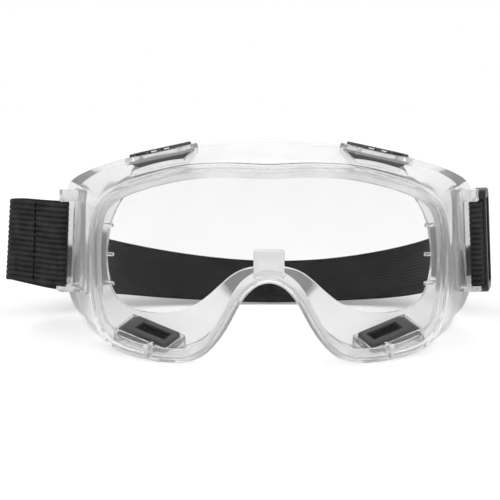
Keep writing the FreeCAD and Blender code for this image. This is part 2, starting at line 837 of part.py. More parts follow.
THREAD_LIFT = STRAP_T / 2 + STITCH[1] / 2 + 0.05
nodes.append(stitch_row("loop_stitching", LEFT_END, SEAM, SEWN_OFFSET + THREAD_LIFT))
nodes.append(stitch_row("tail_stitching", RIGHT_END, RUN_LENGTH - HEM, -BEND_R - THREAD_LIFT))


# Slider: a rectangular loop with end bars outside the strap and a middle bar between its two layers.
SLIDER_REST = 14.5
SLIDER_CORNER = 5
SLIDER_EDGE = 1.0
SLIDER_PLAY = 0.5
ROOF_PLAY = 0.3
CENTRE_BAR_HALF = 1.8
BAR_INSET = 1
CUT_PAST = 1


def make_slider():
    slider = new_body("strap_slider")
    outline = sketch_on(slider, "XY_Plane", "slider_outline", -size("slider_floor"))
    add_rectangle(outline, "slider_length", "slider_height")
    block = pad(slider, outline, "slider_block", "Sheet.slider_floor + Sheet.slider_top")
    rounded = fillet_edges(slider, block, "slider_corners", SLIDER_CORNER, is_upright)
    top = size("slider_top")
    fillet_edges(slider, rounded, "slider_edges", SLIDER_EDGE, lies_on_top(top))
    passage = sketch_on(slider, "YZ_Plane", "slider_passage")
    half = size("strap_width") / 2 + SLIDER_PLAY
    low = -size("slider_floor") - CUT_PAST
    ceiling = size("layer_gap") / 2 + STRAP_T + ROOF_PLAY
    add_lines(passage, [(-half, low), (half, low), (half, ceiling), (-half, ceiling)])
    pocket(slider, passage, "slider_channel", "Sheet.slider_length * 2", midplane=True)
    window = sketch_on(slider, "XY_Plane", "slider_window", top + CUT_PAST)
    reach = size("slider_length") / 2 - size("slider_bar")
    add_lines(window, [(-reach, -half), (reach, -half), (reach, half), (-reach, half)])
    pocket(slider, window, "slider_opening", "2 * Sheet.slider_top")
    middle = sketch_on(slider, "XZ_Plane", "slider_middle")
    thick = size("layer_gap") / 2 - ROOF_PLAY
    bar = CENTRE_BAR_HALF
    add_lines(middle, [(-bar, -thick), (bar, -thick), (bar, thick), (-bar, thick)])
    pad(slider, middle, "slider_centre_bar", "Sheet.slider_height - %s" % (2 * BAR_INSET), midplane=True)
    point, up = RIGHT_END.stop(SLIDER_REST, 0)
    slider.Placement = FreeCAD.Placement(point, FreeCAD.Rotation(RIGHT_END.way, up, RIGHT_END.out, "XZY"))
    return slider


nodes.append(make_slider())
doc.recompute()

for item in doc.Objects:
    if "Invalid" in item.State or "Error" in item.State:
        raise RuntimeError("%s failed: %s" % (item.Name, item.State))
for node in nodes:
    if node.Shape.isNull() or not node.Shape.isValid():
        raise RuntimeError("%s has no valid shape" % node.Label)

os.makedirs("parts", exist_ok=True)
for node in nodes:
    node.Shape.exportStep("parts/%s.step" % node.Label)
    print("%s: %d solid(s), %.1f mm3" % (node.Label, len(node.Shape.Solids), node.Shape.Volume))
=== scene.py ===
"""Panoramic safety goggles: clear soft frame, wrap-round lens, vents and a ribbed elastic headband."""

import json
import math

import bmesh
import bpy
import numpy as np
from mathutils import Matrix, Vector

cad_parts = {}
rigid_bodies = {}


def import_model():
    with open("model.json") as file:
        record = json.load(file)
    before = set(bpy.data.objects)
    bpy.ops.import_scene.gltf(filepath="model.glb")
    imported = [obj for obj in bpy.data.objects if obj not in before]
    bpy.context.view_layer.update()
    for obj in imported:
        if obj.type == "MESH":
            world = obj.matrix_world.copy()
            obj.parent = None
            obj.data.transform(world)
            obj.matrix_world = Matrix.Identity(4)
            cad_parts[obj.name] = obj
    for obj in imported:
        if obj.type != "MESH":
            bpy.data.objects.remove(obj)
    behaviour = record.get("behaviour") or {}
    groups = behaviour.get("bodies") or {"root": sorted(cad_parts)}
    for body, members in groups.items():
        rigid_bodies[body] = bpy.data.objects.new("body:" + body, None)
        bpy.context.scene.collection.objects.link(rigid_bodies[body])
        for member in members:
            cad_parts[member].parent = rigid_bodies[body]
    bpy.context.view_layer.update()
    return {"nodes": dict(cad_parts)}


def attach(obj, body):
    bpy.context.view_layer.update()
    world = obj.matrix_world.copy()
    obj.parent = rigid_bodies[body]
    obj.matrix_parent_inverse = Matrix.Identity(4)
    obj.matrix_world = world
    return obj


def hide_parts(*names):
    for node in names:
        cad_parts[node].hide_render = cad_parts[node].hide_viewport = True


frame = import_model()

MM = 0.001
CORNERS = ("top_right", "top_left", "bottom_right", "bottom_left")

# ---------------------------------------------------------------- the design's own dimensions, in mm
LENS_R = 92.0
LENS_T = 2.2
FACE_R = 125.0
FACE_AXIS = 155.0
WALL = 1.8
GAP = 0.15
RIM_PROUD = 1.6
RIM_LIP = 3.2
RIM_EDGE = 1.3
RIM_ROUND = 0.6
SEAT_WIDTH = 5.5
RIM_INSET = 0.5
LIP_TAPER = 0.4
SEAT_SLOPE = 0.6
FLANGE_THINNING = 0.8
FRAME_MIDDLE_Z = 45.0
TANGENT_REACH = 0.5

# Outlines of the right half from the top centre to the nose:
# rim outer edge (x, z), face-seal outer edge (x, z), face opening edge (x, z).
STATIONS = (
    ((0, 85.0), (0, 95.0), (0, 81.0)),
    ((12, 85.4), (14, 94.3), (12, 80.4)),
    ((24, 85.2), (28, 92.6), (24, 78.8)),
    ((36, 84.0), (41, 91.4), (35, 77.2)),
    ((48, 81.2), (54, 88.6), (46, 75.4)),
    ((59, 77.6), (66, 84.6), (55, 73.2)),
    ((68.5, 73.0), (79.5, 79.9), (62, 69.8)),
    ((75.5, 66.6), (90.3, 74.2), (66.5, 64.0)),
    ((79, 58), (94.6, 66.5), (70, 56.5)),
    ((80.2, 47), (95.0, 52), (71.8, 48)),
    ((80.4, 36), (95.2, 39), (72.6, 39)),
    ((80, 25), (95.8, 26), (71.6, 30)),
    ((78.3, 14.5), (91.0, 13.5), (69, 23.4)),
    ((74, 6.8), (83, 4.6), (64, 18.8)),
    ((66, 2.2), (71, 0.9), (57, 17.0)),
    ((54, 0.6), (57.5, 0.6), (49, 16.7)),
    ((41, 0.6), (44, 0.6), (42, 17.6)),
    ((30.5, 3.0), (33, 3.0), (34, 20.6)),
    ((22.5, 9.5), (24.5, 9.0), (27.5, 25.0)),
    ((16.5, 18.5), (18, 17.0), (21.5, 30.5)),
    ((12, 27), (13.5, 25), (16, 35.3)),
    ((7, 33.6), (8.0, 31.0), (9.5, 38.4)),
    ((0, 36.5), (0, 33.8), (0, 39.6)),
)
HALF = len(STATIONS) - 1
RING = 2 * HALF


def station(index):
    index = index % RING
    if index <= HALF:
        return STATIONS[index]
    return tuple((-x, z) for x, z in STATIONS[RING - index])


def station_at(place):
    low = math.floor(place)
    part = place - low
    pairs = zip(station(low), station(low + 1))
    return tuple((a[0] + part * (b[0] - a[0]), a[1] + part * (b[1] - a[1])) for a, b in pairs)


def lens_point(x, z, lift):
    angle = math.asin(x / LENS_R)
    radius = LENS_R + lift
    return Vector((radius * math.sin(angle), LENS_R - radius * math.cos(angle), z))


def face_point(x, z, lift):
    angle = math.asin(x / FACE_R)
    radius = FACE_R + lift
    return Vector((radius * math.sin(angle), FACE_AXIS - radius * math.cos(angle), z))


def rim_point(index, inset, lift):
    """Point a given distance in from the rim's outer edge, measured along the lens."""
    before = station(index - 1)[0]
    after = station(index + 1)[0]
    along = (after[0] - before[0], after[1] - before[1])
    length = math.hypot(*along)
    x, z = station(index)[0]
    foreshortening = math.cos(math.asin(x / LENS_R))
    return lens_point(x + along[1] / length * inset * foreshortening, z - along[0] / length * inset, lift)


def frame_section(index):
    """Corners of the moulded section: rim, lens groove, seat, side wall and face flange."""
    face_x, face_z = station(index)[1]
    open_x, open_z = station(index)[2]
    front = rim_point(index, 0, RIM_PROUD - RIM_ROUND)
    corner = face_point(face_x, face_z, 0)
    to_opening = face_point(open_x, open_z, 0) - corner
    step = WALL / math.tan((front - corner).angle(to_opening) / 2) / to_opening.length
    inner_x = face_x + (open_x - face_x) * step
    inner_z = face_z + (open_z - face_z) * step
    back = -LENS_T - GAP
    return [
        rim_point(index, RIM_INSET, RIM_PROUD),
        rim_point(index, RIM_LIP - LIP_TAPER, RIM_PROUD),
        rim_point(index, RIM_LIP, GAP),
        rim_point(index, RIM_EDGE, GAP),
        rim_point(index, RIM_EDGE, back),
        rim_point(index, SEAT_WIDTH, back),
        rim_point(index, SEAT_WIDTH, back - WALL),
        rim_point(index, WALL, back - WALL - SEAT_SLOPE),
        face_point(inner_x, inner_z, WALL),
        face_point(open_x, open_z, WALL * FLANGE_THINNING),
        face_point(open_x, open_z, 0),
        corner,
        front,
    ]


# How far each corner of the section is rounded, in the order of frame_section, in mm.
SECTION_ROUND = (0.5, 0.55, 0.3, 0.1, 0.1, 0.4, 0.7, 1.6, 1.8, 0.6, 0.6, 0.9, 0.6)


def wall_axes(place):
    """Middle of the wall's outside with its directions: along, to the face and outward."""
    rim, face, _ = station_at(place)
    front = lens_point(rim[0], rim[1], RIM_PROUD - RIM_ROUND)
    back = face_point(face[0], face[1], 0)

    def middle(at):
        near, far, _ = station_at(at)
        return (lens_point(near[0], near[1], 0) + face_point(far[0], far[1], 0)) / 2

    tangent = (middle(place + TANGENT_REACH) - middle(place - TANGENT_REACH)).normalized()
    outward = (back - front).cross(tangent).normalized()
    centre = (front + back) / 2
    if outward.dot(centre - Vector((0, centre.y, FRAME_MIDDLE_Z))) < 0:
        outward.negate()
    to_face = outward.cross(tangent)
    if to_face.dot(back - front) < 0:
        to_face.negate()
    return centre, to_face.cross(outward), to_face, outward


def axes_matrix(origin, x_axis, y_axis, z_axis):
    turn = Matrix((x_axis, y_axis, z_axis)).transposed().to_4x4()
    return Matrix.Translation(origin) @ turn


# Vents: station, lift of the seat, shift towards the face, tilt, roll, reach of the boss.
TOP_VENT = (3.65, 2.6, 3.5, 20, 0, 0)
BOTTOM_VENT = (15.1, -6.1, 3.5, 22, 12.5, 7)
VENTS = {
    "top_right": TOP_VENT,
    "top_left": (RING - TOP_VENT[0],) + TOP_VENT[1:],
    "bottom_right": BOTTOM_VENT,
    "bottom_left": (RING - BOTTOM_VENT[0],) + BOTTOM_VENT[1:],
}
VENT_LENGTH = 26.0
VENT_WIDTH = 12.0
WINDOW_LENGTH = 21.0
WINDOW_WIDTH = 7.6
TRAY_WALL = 1.5
VENT_SEAT = 2.0
BOSS_DEPTH = 3.2
BOSS_WALL = 1.5
PLAY = 0.3
CLIPS = {"right": 9.25, "left": RING - 9.25}
CLIP_HEIGHT = 47.3
CLIP_LENGTH = 46.4
CLIP_WIDTH = 12.0
CLIP_SHIFT = -6.0
CLIP_LEAN = 3.2
CLIP_FORWARD = -1.5
BAR_HEIGHT = 9.6


def vent_axes(vent):
    place, lift, shift, tilt, roll, _ = vent
    centre, along, to_face, outward = wall_axes(place)
    outer_end = math.copysign(1, along.x * centre.x)
    seat = axes_matrix(centre + outward * lift + to_face * shift, along, to_face, outward)
    roll_turn = Matrix.Rotation(math.radians(roll * outer_end), 4, "Y")
    return seat @ roll_turn @ Matrix.Rotation(math.radians(-tilt), 4, "X")


def clip_axes(place):
    centre, _, to_face, outward = wall_axes(place)
    back = Vector((to_face.x, to_face.y, 0)).normalized()
    out = Vector((back.y, -back.x, 0))
    if out.dot(outward) < 0:
        out.negate()
    base = Vector((centre.x, centre.y, CLIP_HEIGHT)) + back * CLIP_SHIFT
    lean = math.radians(math.copysign(CLIP_LEAN, -centre.x))
    upright = axes_matrix(Vector((0, 0, 0)), back.cross(out), back, out)
    return Matrix.Translation(base) @ Matrix.Rotation(lean, 4, back) @ upright


# ---------------------------------------------------------------- materials
# Noise scales are in features for each metre; colours are linear.
NOISE_LOW = 0.3
NOISE_HIGH = 0.7
NOISE_ROUGHNESS = 0.55
CLOUD_NOISE = 55
HAZE_NOISE = 120
RIPPLE_NOISE = 70
PATCH_NOISE = 160


def new_material(name):
    material = bpy.data.materials.new(name)
    material.use_nodes = True
    tree = material.node_tree
    tree.nodes.clear()
    output = tree.nodes.new("ShaderNodeOutputMaterial")
    shader = tree.nodes.new("ShaderNodeBsdfPrincipled")
    tree.links.new(shader.outputs["BSDF"], output.inputs["Surface"])
    return material, tree, shader, output


def noise(tree, scale, detail):
    """Noise over object space."""
    place = tree.nodes.new("ShaderNodeTexCoord")
    node = tree.nodes.new("ShaderNodeTexNoise")
    node.inputs["Scale"].default_value = scale
    node.inputs["Detail"].default_value = detail
    node.inputs["Roughness"].default_value = NOISE_ROUGHNESS
    tree.links.new(place.outputs["Object"], node.inputs["Vector"])
    return node.outputs["Fac"]


def spread(tree, value, low, high, start=NOISE_LOW, end=NOISE_HIGH):
    """Maps a value from start to end, by default the middle of a noise, onto a range."""
    node = tree.nodes.new("ShaderNodeMapRange")
    node.inputs["From Min"].default_value = start
    node.inputs["From Max"].default_value = end
    node.inputs["To Min"].default_value = low
    node.inputs["To Max"].default_value = high
    tree.links.new(value, node.inputs["Value"])
    return node.outputs["Result"]


def ramp(tree, value, stops):
    node = tree.nodes.new("ShaderNodeValToRGB")
    for element, (position, colour) in zip(node.color_ramp.elements, stops):
        element.position = position
        element.color = (*colour, 1)
    tree.links.new(value, node.inputs["Fac"])
    return node.outputs["Color"]


def bump(tree, shader, height, distance):
    node = tree.nodes.new("ShaderNodeBump")
    node.inputs["Distance"].default_value = distance
    node.inputs["Strength"].default_value = 1.0
    tree.links.new(height, node.inputs["Height"])
    tree.links.new(node.outputs["Normal"], shader.inputs["Normal"])


def let_light_through(tree, shader, output, tint):
    """Shadow rays pass a clear plastic with a slight loss, as light passes a thin wall."""
    clear = tree.nodes.new("ShaderNodeBsdfTransparent")
    clear.inputs["Color"].default_value = (*tint, 1)
    mix = tree.nodes.new("ShaderNodeMixShader")
    path = tree.nodes.new("ShaderNodeLightPath")
    tree.links.new(path.outputs["Is Shadow Ray"], mix.inputs["Fac"])
    tree.links.new(shader.outputs["BSDF"], mix.inputs[1])
    tree.links.new(clear.outputs["BSDF"], mix.inputs[2])
    tree.links.new(mix.outputs["Shader"], output.inputs["Surface"])


def clear_plastic(name, clouds, clear, ior, rough, shadow_tint, ripple):
    """Clear moulding; clear is how much of the light passes, the rest is scattered in a milky body."""
    material, tree, shader, output = new_material(name)
    shader.inputs["IOR"].default_value = ior
    shader.inputs["Transmission Weight"].default_value = clear
    colour = ramp(tree, noise(tree, CLOUD_NOISE, 3.0), ((NOISE_LOW, clouds[0]), (NOISE_HIGH, clouds[1])))
    tree.links.new(colour, shader.inputs["Base Color"])
    tree.links.new(spread(tree, noise(tree, HAZE_NOISE, 4.0), *rough), shader.inputs["Roughness"])
    bump(tree, shader, noise(tree, RIPPLE_NOISE, 2.0), ripple)
    let_light_through(tree, shader, output, shadow_tint)
    return material


def moulded_plastic(name, dark, light, rough, grain_scale, grain_depth, specular=0.5):
    """Satin injection-moulded plastic with fine spark-eroded grain."""
    material, tree, shader, _ = new_material(name)
    shader.inputs["Specular IOR Level"].default_value = specular
    patches = noise(tree, PATCH_NOISE, 4.0)
    colour = ramp(tree, patches, ((NOISE_LOW, dark), (NOISE_HIGH, light)))
    tree.links.new(colour, shader.inputs["Base Color"])
    tree.links.new(spread(tree, patches, *rough), shader.inputs["Roughness"])
    bump(tree, shader, noise(tree, grain_scale, 2.0), grain_depth)
    return material


# Webbing, in metres along and across the band.
RIB_PITCH = 0.002375
YARN_PITCH = 0.00085
COURSE_PITCH = 0.0007
YARN_NOISE = 2600
LINT_NOISE = 140
WEAVE_SHARE = 0.5
WEAVE_SHADE_SHARE = 0.35
# The ribs' painted light and shade grow stronger, and the band is painted lighter, between these distances
# from the band's middle.
BAND_MIDDLE = 0.25
END_STARTS = 0.16
END_FULL = 0.20
CREST_LEVEL = 0.6
RIB_PAINTED_SHADING = 0.15
END_PAINTED_SHADING = 0.35
END_PAINTED_LIGHT = 0.08
DARKENING = 0.12
BLACK_YARN = ((0.3, (0.004, 0.004, 0.0045)), (1.0, (0.036, 0.036, 0.037)))
FOAM_CELLS = 1500
FOAM_BLACK_AND_PIT_SHADE = ((0.1, (0.002, 0.002, 0.002)), (0.8, (0.016, 0.016, 0.017)))


def elastic_webbing():
    """Black ribbed elastic: knitted courses with painted shade between the yarns, and painted shade in the
    rib grooves with painted highlights on the crests; near the two ends the band is painted lighter and its
    rib shading stronger.
    """
    material, tree, shader, _ = new_material("ribbed_elastic")
    uv = tree.nodes.new("ShaderNodeUVMap")
    uv.uv_map = "band"
    split = tree.nodes.new("ShaderNodeSeparateXYZ")
    tree.links.new(uv.outputs["UV"], split.inputs["Vector"])

    def math_node(operation, first, second=None, third=None):
        node = tree.nodes.new("ShaderNodeMath")
        node.operation = operation
        for socket, value in zip(node.inputs, (first, second, third)):
            if isinstance(value, (int, float)):
                socket.default_value = value
            elif value is not None:
                tree.links.new(value, socket)
        return node.outputs[0]

    def wave(axis, pitch):
        return math_node("SINE", math_node("MULTIPLY", split.outputs[axis], 2 * math.pi / pitch))

    weave = math_node("MULTIPLY", wave("X", COURSE_PITCH), wave("Y", YARN_PITCH))
    height = math_node("MULTIPLY_ADD", weave, WEAVE_SHARE, noise(tree, YARN_NOISE, 3.0))
    # The weave's height also sets the colour, so the band is darker where the yarns dip: painted shade
    # between the yarns, on top of random lint patches.
    patches = math_node("MULTIPLY_ADD", height, WEAVE_SHADE_SHARE, noise(tree, LINT_NOISE, 4.0))
    from_middle = math_node("ABSOLUTE", math_node("SUBTRACT", split.outputs["X"], BAND_MIDDLE))
    # Painted light near both ends: the band is lighter there and its painted rib shading stronger, though
    # the real band is even along its length.
    painted_light_near_ends = spread(tree, from_middle, 0, 1, END_STARTS, END_FULL)
    # Painted shade in the rib grooves and painted highlight on the rib crests, over the modelled ribs.
    rib_angle = math_node("MULTIPLY", split.outputs["Y"], math.pi / RIB_PITCH)
    painted_rib_shading = math_node("ABSOLUTE", math_node("SINE", rib_angle))
    contrast = math_node("MULTIPLY_ADD", painted_light_near_ends, END_PAINTED_SHADING, RIB_PAINTED_SHADING)
    level = math_node("MULTIPLY_ADD", painted_light_near_ends, END_PAINTED_LIGHT, math_node("SUBTRACT", patches, DARKENING))
    tone = math_node("MULTIPLY_ADD", math_node("SUBTRACT", painted_rib_shading, CREST_LEVEL), contrast, level)
    tree.links.new(ramp(tree, tone, BLACK_YARN), shader.inputs["Base Color"])
    shader.inputs["Roughness"].default_value = 0.85
    shader.inputs["Specular IOR Level"].default_value = 0.18
    bump(tree, shader, height, 0.00010)
    return material


def filter_foam():
    material, tree, shader, _ = new_material("filter_foam")
    place = tree.nodes.new("ShaderNodeTexCoord")
    cells = tree.nodes.new("ShaderNodeTexVoronoi")
    cells.inputs["Scale"].default_value = FOAM_CELLS
    tree.links.new(place.outputs["Object"], cells.inputs["Vector"])
    # The colour follows the cells' distance, as the bump does, so the pits are darker: painted shade in the
    # pores over the foam's own black.
    tree.links.new(ramp(tree, cells.outputs["Distance"], FOAM_BLACK_AND_PIT_SHADE), shader.inputs["Base Color"])
    shader.inputs["Roughness"].default_value = 0.95
    shader.inputs["Specular IOR Level"].default_value = 0.1
    bump(tree, shader, cells.outputs["Distance"], 0.0004)
    return material


CLEAR_PVC = clear_plastic(
    "clear_soft_pvc",
    clouds=((0.875, 0.875, 0.88), (0.955, 0.955, 0.96)),
    clear=0.87,
    ior=1.40,
    rough=(0.04, 0.14),
    shadow_tint=(0.94,) * 3,
    ripple=0.00004,
)
FROSTED_PVC = clear_plastic(
    "frosted_soft_pvc",
    clouds=((0.95, 0.95, 0.955), (0.985, 0.985, 0.99)),
    clear=0.35,
    ior=1.45,
    rough=(0.10, 0.22),
    shadow_tint=(0.94,) * 3,
    ripple=0.00004,
)
CLEAR_LENS = clear_plastic(
    "clear_polycarbonate",
    clouds=((0.85, 0.85, 0.855), (0.87, 0.87, 0.875)),
    clear=1.0,
    ior=1.12,
    rough=(0.0, 0.02),
    shadow_tint=(0.985,) * 3,
    ripple=0.00001,
)
CLEAR_CLIP = clear_plastic(
    "clear_hard_plastic",
    clouds=((0.90, 0.90, 0.905), (0.95, 0.95, 0.955)),
    clear=0.9,
    ior=1.5,
    rough=(0.01, 0.08),
    shadow_tint=(0.93,) * 3,
    ripple=0.00004,
)
VENT_PLASTIC = moulded_plastic(
    "vent_grey_plastic",
    dark=(0.05, 0.05, 0.052),
    light=(0.072, 0.072, 0.074),
    rough=(0.45, 0.6),
    grain_scale=3200,
    grain_depth=0.00005,
)
SLIDER_PLASTIC = moulded_plastic(
    "slider_black_plastic",
    dark=(0.006, 0.006, 0.0065),
    light=(0.012, 0.012, 0.013),
    rough=(0.32, 0.48),
    grain_scale=3000,
    grain_depth=0.00004,
    specular=0.3,
)
THREAD = moulded_plastic(
    "sewing_thread",
    dark=(0.001, 0.001, 0.001),
    light=(0.003, 0.003, 0.003),
    rough=(0.7, 0.9),
    grain_scale=5200,
    grain_depth=0.00008,
    specular=0.05,
)
ELASTIC = elastic_webbing()
FOAM = filter_foam()


# ---------------------------------------------------------------- mesh helpers
WELD = 1e-6
FLAT_ANGLE = 1.5
ROUNDED_ANGLE = 40
SMOOTH_ANGLE = 35
ROUND_SEGMENTS = 3


def make_piece(name, mesh, material, body="goggles"):
    mesh.materials.clear()
    mesh.materials.append(material)
    piece = bpy.data.objects.new(name, mesh)
    bpy.context.scene.collection.objects.link(piece)
    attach(piece, body)
    return piece


def smooth_by_angle(mesh, degrees):
    """Smooth faces, with sharp edges where the faces meet at more than the angle."""
    work = bmesh.new()
    work.from_mesh(mesh)
    limit = math.radians(degrees)
    for face in work.faces:
        face.smooth = True
    for edge in work.edges:
        edge.smooth = len(edge.link_faces) == 2 and edge.calc_face_angle(math.pi) < limit
    work.to_mesh(mesh)
    work.free()


def apply_modifiers(piece):
    bpy.context.view_layer.update()
    graph = bpy.context.evaluated_depsgraph_get()
    mesh = bpy.data.meshes.new_from_object(piece.evaluated_get(graph))
    old = piece.data
    piece.modifiers.clear()
    piece.data = mesh
    bpy.data.meshes.remove(old)


def softened(node, material, width, body="goggles"):
    """A copy of a CAD node with its triangles merged into flat faces and its edges rounded."""
    mesh = frame["nodes"][node].data.copy()
    mesh.name = node + "_soft"
    work = bmesh.new()
    work.from_mesh(mesh)
    bmesh.ops.remove_doubles(work, verts=work.verts, dist=WELD)
    flat = math.radians(FLAT_ANGLE)
    bmesh.ops.dissolve_limit(work, angle_limit=flat, verts=work.verts, edges=work.edges)
    work.to_mesh(mesh)
    work.free()
    piece = make_piece(node + "_piece", mesh, material, body)
    bevel = piece.modifiers.new("round", "BEVEL")
    bevel.width = width
    bevel.segments = ROUND_SEGMENTS
    bevel.limit_method = "ANGLE"
    bevel.angle_limit = math.radians(ROUNDED_ANGLE)
    apply_modifiers(piece)
    smooth_by_angle(piece.data, SMOOTH_ANGLE)
    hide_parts(node)


# ---------------------------------------------------------------- moulded frame
RAIL_STEPS = 5
ROUND_STEPS = 3
ROUND_SHARE = 0.45
LENS_ROOM_HEIGHT = 300.0
LENS_ROOM_MIDDLE = 50
LENS_ROOM_SIDES = 256
FRAME_SMOOTH_ANGLE = 32


def periodic_spline(points, steps):
    """Smooth closed curve through points, with a number of samples for each of them."""
    count = len(points)
    system = 4 * np.eye(count) + np.roll(np.eye(count), 1, axis=1) + np.roll(np.eye(count), -1, axis=1)
    bends = np.linalg.solve(system, 6 * (np.roll(points, -1, 0) - 2 * points + np.roll(points, 1, 0)))
    following, next_bends = np.roll(points, -1, 0), np.roll(bends, -1, 0)
    samples = []
    for step in range(steps):
        t = step / steps
        u = 1 - t
        samples.append(u * points + t * following + ((u**3 - u) * bends + (t**3 - t) * next_bends) / 6)
    return np.stack(samples, axis=1).reshape(count * steps, -1)


def rounded_sections(sections, radii):
    """Replaces each corner of each section by a short curve."""
    reach = np.array(radii)[None, :, None]

    def leg(other):
        offset = other - sections
        length = np.linalg.norm(offset, axis=2, keepdims=True)
        return sections + offset / length * np.minimum(reach, ROUND_SHARE * length)

    start = leg(np.roll(sections, 1, axis=1))
    end = leg(np.roll(sections, -1, axis=1))
    curves = []
    for step in range(ROUND_STEPS + 1):
        t = step / ROUND_STEPS
        curves.append((1 - t) ** 2 * start + 2 * t * (1 - t) * sections + t**2 * end)
    return np.stack(curves, axis=2).reshape(len(sections), -1, 3)


def grid_faces(rows, columns, closed_rows, closed_columns):
    faces = []
    for i in range(rows if closed_rows else rows - 1):
        for j in range(columns if closed_columns else columns - 1):
            a, b = i * columns + j, i * columns + (j + 1) % columns
            shift = ((i + 1) % rows - i) * columns
            faces.append((a, b, b + shift, a + shift))
    return faces


def mesh_from(name, points, faces):
    mesh = bpy.data.meshes.new(name)
    mesh.from_pydata([tuple(p) for p in points], [], faces)
    mesh.validate()
    work = bmesh.new()
    work.from_mesh(mesh)
    bmesh.ops.recalc_face_normals(work, faces=work.faces)
    work.to_mesh(mesh)
    work.free()
    return mesh


def frame_shell():
    corners = np.array([[tuple(p) for p in frame_section(i)] for i in range(RING)])
    rails = [periodic_spline(corners[:, c], RAIL_STEPS) for c in range(corners.shape[1])]
    sections = rounded_sections(np.stack(rails, axis=1), SECTION_ROUND)
    rows, columns = sections.shape[:2]
    return mesh_from("frame_shell", sections.reshape(-1, 3) * MM, grid_faces(rows, columns, True, True))


def in_metres(placement):
    place = placement.copy()
    place.translation *= MM
    return place


def block_mesh(length, width, low, high, placement, rounding=0.0, floor=None):
    """Box centred on its local X and Y between two local heights, kept above a floor height."""
    work = bmesh.new()
    bmesh.ops.create_cube(work, size=1)
    size = Matrix.Diagonal((length * MM, width * MM, (high - low) * MM, 1))
    lift = Matrix.Translation((0, 0, (high + low) / 2 * MM))
    bmesh.ops.transform(work, matrix=in_metres(placement) @ lift @ size, verts=work.verts)
    if floor is not None:
        everything = work.verts[:] + work.edges[:] + work.faces[:]
        level = Vector((0, 0, floor * MM))
        down = (0, 0, -1)
        bmesh.ops.bisect_plane(work, geom=everything, plane_co=level, plane_no=down, clear_outer=True)
        bmesh.ops.holes_fill(work, edges=work.edges[:])
    if rounding:
        bmesh.ops.bevel(
            work,
            geom=work.edges[:],
            offset=rounding * MM,
            segments=ROUND_SEGMENTS,
            profile=0.5,
            affect="EDGES",
        )
    bmesh.ops.recalc_face_normals(work, faces=work.faces)
    mesh = bpy.data.meshes.new("block")
    work.to_mesh(mesh)
    work.free()
    return mesh


def behind_lens(mesh):
    """The part of a mesh that lies behind the back of the lens."""
    work = bmesh.new()
    tall = Matrix.Translation((0, LENS_R, LENS_ROOM_MIDDLE))
    radius = (LENS_R - LENS_T - GAP) * MM
    bmesh.ops.create_cone(
        work,
        cap_ends=True,
        segments=LENS_ROOM_SIDES,
        radius1=radius,
        radius2=radius,
        depth=LENS_ROOM_HEIGHT * MM,
        matrix=in_metres(tall),
    )
    room = bpy.data.meshes.new("room")
    work.to_mesh(room)
    work.free()
    holder = bpy.data.objects.new("holder", mesh)
    bpy.context.scene.collection.objects.link(holder)
    combine(holder, [room], "INTERSECT")
    kept = holder.data
    bpy.data.objects.remove(holder)
    return kept


def combine(piece, meshes, operation):
    """Applies one exact boolean with several meshes."""
    tools = bpy.data.collections.new("tools")
    bpy.context.scene.collection.children.link(tools)
    for mesh in meshes:
        tools.objects.link(bpy.data.objects.new("tool", mesh))
    boolean = piece.modifiers.new("combine", "BOOLEAN")
    boolean.operation = operation
    boolean.operand_type = "COLLECTION"
    boolean.collection = tools
    boolean.solver = "EXACT"
    apply_modifiers(piece)
    for tool in list(tools.objects):
        bpy.data.objects.remove(tool)
    bpy.data.collections.remove(tools)


# Moulded details of the frame, in mm; a block's low and high are its local heights.
CUT_TOP = 9
WINDOW_LOW = -6
WINDOW_HIGH = 4
TRAY_LOW = -10
BOSS_ROUND = 0.5
CLIP_SEAT_MARGIN = 2
CLIP_SEAT_DEPTH = 3
CLIP_SEAT_ROUND = 0.6
NOSE_TAB = {"length": 13, "width": 3.2, "low": 0, "high": 12.5, "rounding": 1.0}
NOSE_TAB_PLACE = (0, 4.4, 37.5)
NOSE_PAD = {"length": 9, "width": 3.2, "low": 3, "high": 11, "rounding": 0.3}
NOSE_PAD_PLACE = (0, 4.1, 37.5)
STUD_X = 51.3
STUD_Z = 4.6
STUD_STEM = {"length": 1.8, "width": 4.4, "low": -3, "high": 1.4, "rounding": 0.2}
STUD_STEM_PLACE = (0, -0.6, 0)
STUD_HEAD_PLACE = (0, -0.6, 2)
STUD_HEAD_SIDES = 32
STUD_BASE_RADIUS = 1.35
STUD_TIP_RADIUS = 1.15
STUD_HEAD_LENGTH = 4.4
TOOTH = {"length": 5, "width": 1.2, "low": -0.8, "high": 0.8, "rounding": 0.25}
TOOTH_X = 70.6
TOOTH_HEIGHTS = (54.7, 41.5, 28.3)
TOOTH_SHIFT = 0.5
TOOTH_PROUD = 0.6


def stud_axes(side):
    x = STUD_X * side
    turn = Matrix.Rotation(math.asin(x / LENS_R), 4, "Z")
    return Matrix.Translation(lens_point(x, STUD_Z, 0)) @ turn


def stud_head(side):
    """Round head of the peg that holds the lens's lower edge."""
    work = bmesh.new()
    pointing = Matrix.Rotation(-math.pi / 2, 4, "X")
    middle = Matrix.Translation(STUD_HEAD_PLACE)
    bmesh.ops.create_cone(
        work,
        cap_ends=True,
        segments=STUD_HEAD_SIDES,
        radius1=STUD_BASE_RADIUS * MM,
        radius2=STUD_TIP_RADIUS * MM,
        depth=STUD_HEAD_LENGTH * MM,
        matrix=in_metres(stud_axes(side) @ middle @ pointing),
    )
    mesh = bpy.data.meshes.new("stud")
    work.to_mesh(mesh)
    work.free()
    return mesh


def tooth_axes(side, height):
    x = TOOTH_X * side
    turn = Matrix.Rotation(math.asin(x / FACE_R), 4, "Z")
    return Matrix.Translation(face_point(x, height, WALL * 0.5)) @ turn


# Part of the frame round the nose tab that is frosted, in mm.
TAB_HALF_WIDTH = 7.0
TAB_LOW = 40.5
TAB_HIGH = 51.0


